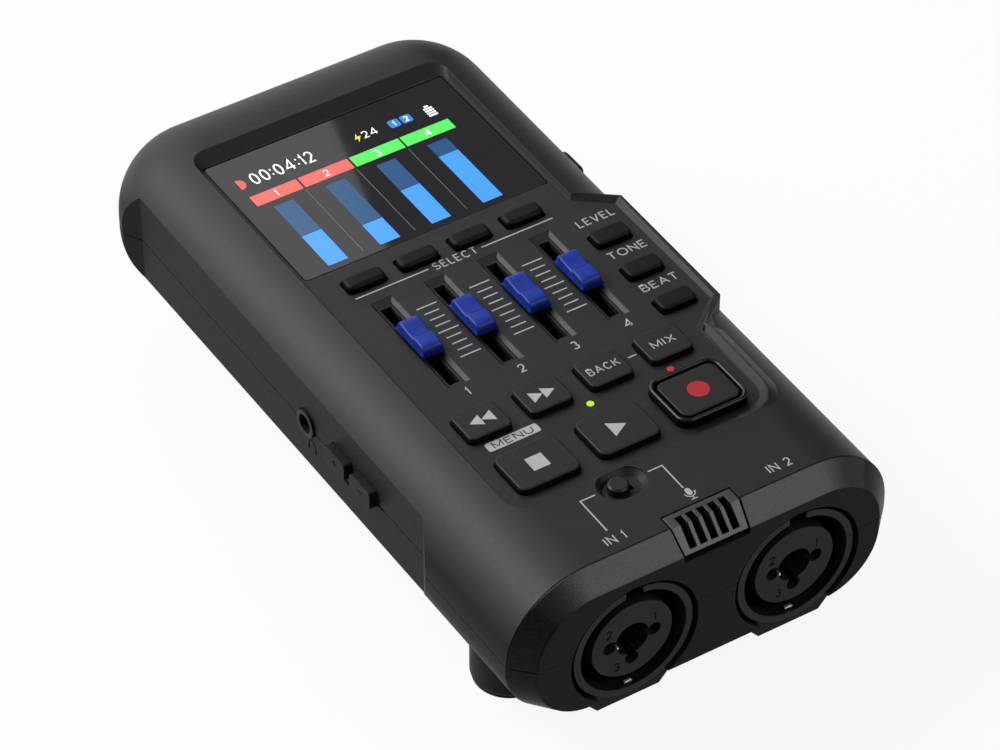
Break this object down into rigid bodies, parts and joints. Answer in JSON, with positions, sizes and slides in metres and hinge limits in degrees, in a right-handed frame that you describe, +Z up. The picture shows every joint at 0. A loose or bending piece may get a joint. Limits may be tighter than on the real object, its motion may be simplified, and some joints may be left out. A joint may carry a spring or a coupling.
{
  "type": "multitrack recorder",
  "caption": "Handheld multitrack recorder with blue faders, rubber transport keys, a colour screen and combination input jacks on its front end.",
  "frame": {"origin": "centre of the bounding box on the table, under the feet", "axes": "+Y towards the screen end, +X to the right as the panel is read, +Z up out of the panel"},
  "size_m": [0.0763, 0.1434, 0.0408],
  "materials": {
    "case_plastic": "satin charcoal",
    "band_plastic": "fine grain",
    "window": "clear gloss over a dark screen",
    "board": "solder resist",
    "steel": "bare",
    "lever_plastic": "matt black",
    "cap_plastic": "satin royal blue",
    "key_rubber": "soft matt",
    "knob_plastic": "satin",
    "light_green": "translucent",
    "light_red": "translucent",
    "jack_plastic": "satin black",
    "gold": "plated",
    "cell_jacket": "bare jacket",
    "foot_rubber": "matt"
  },
  "bodies": {
    "body": {"top_case": "case_plastic", "bottom_case": "case_plastic", "front_bezel_upper": "band_plastic", "front_bezel_lower": "band_plastic", "mic_grille": "band_plastic", "record_ring": "band_plastic", "display_window": "window", "control_board": "board", "main_board": "board", "display_module": "steel", "mic_capsules": "steel", "key_switches": "steel", "selector_switch": "steel", "volume_switches": "steel", "power_switch": "steel", "usb_socket": "steel", "card_socket": "steel", "case_screws": "steel", "battery_contacts": "steel", "fader_unit_1": "steel", "fader_unit_2": "steel", "fader_unit_3": "steel", "fader_unit_4": "steel", "play_light": "light_green", "record_light": "light_red", "input_jack_left": "jack_plastic", "input_jack_right": "jack_plastic", "jack_insert_left": "jack_plastic", "jack_insert_right": "jack_plastic", "phones_jack": "jack_plastic", "jack_contacts": "gold", "battery_cells": "cell_jacket", "rubber_feet": "foot_rubber"},
    "fader_1": {"fader_lever_1": "lever_plastic", "fader_cap_1": "cap_plastic"},
    "fader_2": {"fader_lever_2": "lever_plastic", "fader_cap_2": "cap_plastic"},
    "fader_3": {"fader_lever_3": "lever_plastic", "fader_cap_3": "cap_plastic"},
    "fader_4": {"fader_lever_4": "lever_plastic", "fader_cap_4": "cap_plastic"},
    "select_key_1_body": {"select_key_1": "key_rubber"},
    "select_key_2_body": {"select_key_2": "key_rubber"},
    "select_key_3_body": {"select_key_3": "key_rubber"},
    "select_key_4_body": {"select_key_4": "key_rubber"},
    "function_key_upper_body": {"function_key_upper": "key_rubber"},
    "function_key_middle_body": {"function_key_middle": "key_rubber"},
    "function_key_lower_body": {"function_key_lower": "key_rubber"},
    "rewind_key_body": {"rewind_key": "key_rubber"},
    "forward_key_body": {"forward_key": "key_rubber"},
    "undo_key_body": {"undo_key": "key_rubber"},
    "mixdown_key_body": {"mixdown_key": "key_rubber"},
    "stop_key_body": {"stop_key": "key_rubber"},
    "play_key_body": {"play_key": "key_rubber"},
    "record_key_body": {"record_key": "key_rubber"},
    "selector_knob_body": {"selector_knob": "knob_plastic"},
    "volume_up_key_body": {"volume_up_key": "knob_plastic"},
    "volume_down_key_body": {"volume_down_key": "knob_plastic"},
    "power_knob_body": {"power_knob": "knob_plastic"},
    "battery_door_body": {"battery_door": "case_plastic"}
  },
  "joints": [
    {"name": "fader_1_slide", "type": "slide", "parent": "body", "child": "fader_1", "axis": [0, 1, 0], "range_m": [-0.0075, 0.0075]},
    {"name": "fader_2_slide", "type": "slide", "parent": "body", "child": "fader_2", "axis": [0, 1, 0], "range_m": [-0.0075, 0.0075]},
    {"name": "fader_3_slide", "type": "slide", "parent": "body", "child": "fader_3", "axis": [0, 1, 0], "range_m": [-0.0075, 0.0075]},
    {"name": "fader_4_slide", "type": "slide", "parent": "body", "child": "fader_4", "axis": [0, 1, 0], "range_m": [-0.0075, 0.0075]},
    {"name": "select_key_1_press", "type": "slide", "parent": "body", "child": "select_key_1_body", "axis": [0, 0, -1], "range_m": [0, 0.0006], "stiffness_N_per_m": 150},
    {"name": "select_key_2_press", "type": "slide", "parent": "body", "child": "select_key_2_body", "axis": [0, 0, -1], "range_m": [0, 0.0006], "stiffness_N_per_m": 150},
    {"name": "select_key_3_press", "type": "slide", "parent": "body", "child": "select_key_3_body", "axis": [0, 0, -1], "range_m": [0, 0.0006], "stiffness_N_per_m": 150},
    {"name": "select_key_4_press", "type": "slide", "parent": "body", "child": "select_key_4_body", "axis": [0, 0, -1], "range_m": [0, 0.0006], "stiffness_N_per_m": 150},
    {"name": "function_key_upper_press", "type": "slide", "parent": "body", "child": "function_key_upper_body", "axis": [0, 0, -1], "range_m": [0, 0.0006], "stiffness_N_per_m": 150},
    {"name": "function_key_middle_press", "type": "slide", "parent": "body", "child": "function_key_middle_body", "axis": [0, 0, -1], "range_m": [0, 0.0006], "stiffness_N_per_m": 150},
    {"name": "function_key_lower_press", "type": "slide", "parent": "body", "child": "function_key_lower_body", "axis": [0, 0, -1], "range_m": [0, 0.0006], "stiffness_N_per_m": 150},
    {"name": "rewind_key_press", "type": "slide", "parent": "body", "child": "rewind_key_body", "axis": [0, 0, -1], "range_m": [0, 0.0006], "stiffness_N_per_m": 150},
    {"name": "forward_key_press", "type": "slide", "parent": "body", "child": "forward_key_body", "axis": [0, 0, -1], "range_m": [0, 0.0006], "stiffness_N_per_m": 150},
    {"name": "undo_key_press", "type": "slide", "parent": "body", "child": "undo_key_body", "axis": [0, 0, -1], "range_m": [0, 0.0006], "stiffness_N_per_m": 150},
    {"name": "mixdown_key_press", "type": "slide", "parent": "body", "child": "mixdown_key_body", "axis": [0, 0, -1], "range_m": [0, 0.0006], "stiffness_N_per_m": 150},
    {"name": "stop_key_press", "type": "slide", "parent": "body", "child": "stop_key_body", "axis": [0, 0, -1], "range_m": [0, 0.0006], "stiffness_N_per_m": 150},
    {"name": "play_key_press", "type": "slide", "parent": "body", "child": "play_key_body", "axis": [0, 0, -1], "range_m": [0, 0.0006], "stiffness_N_per_m": 150},
    {"name": "record_key_press", "type": "slide", "parent": "body", "child": "record_key_body", "axis": [0, 0, -1], "range_m": [0, 0.0006], "stiffness_N_per_m": 150},
    {"name": "volume_up_key_press", "type": "slide", "parent": "body", "child": "volume_up_key_body", "axis": [1, 0, 0], "range_m": [0, 0.0006], "stiffness_N_per_m": 150},
    {"name": "volume_down_key_press", "type": "slide", "parent": "body", "child": "volume_down_key_body", "axis": [1, 0, 0], "range_m": [0, 0.0006], "stiffness_N_per_m": 150},
    {"name": "selector_slide", "type": "slide", "parent": "body", "child": "selector_knob_body", "axis": [1, 0, 0], "range_m": [0, 0.0015]},
    {"name": "power_slide", "type": "slide", "parent": "body", "child": "power_knob_body", "axis": [0, 1, 0], "range_m": [-0.002, 0.002]},
    {"name": "battery_door_slide", "type": "slide", "parent": "body", "child": "battery_door_body", "axis": [0, -1, 0], "range_m": [0, 0.006]}
  ]
}
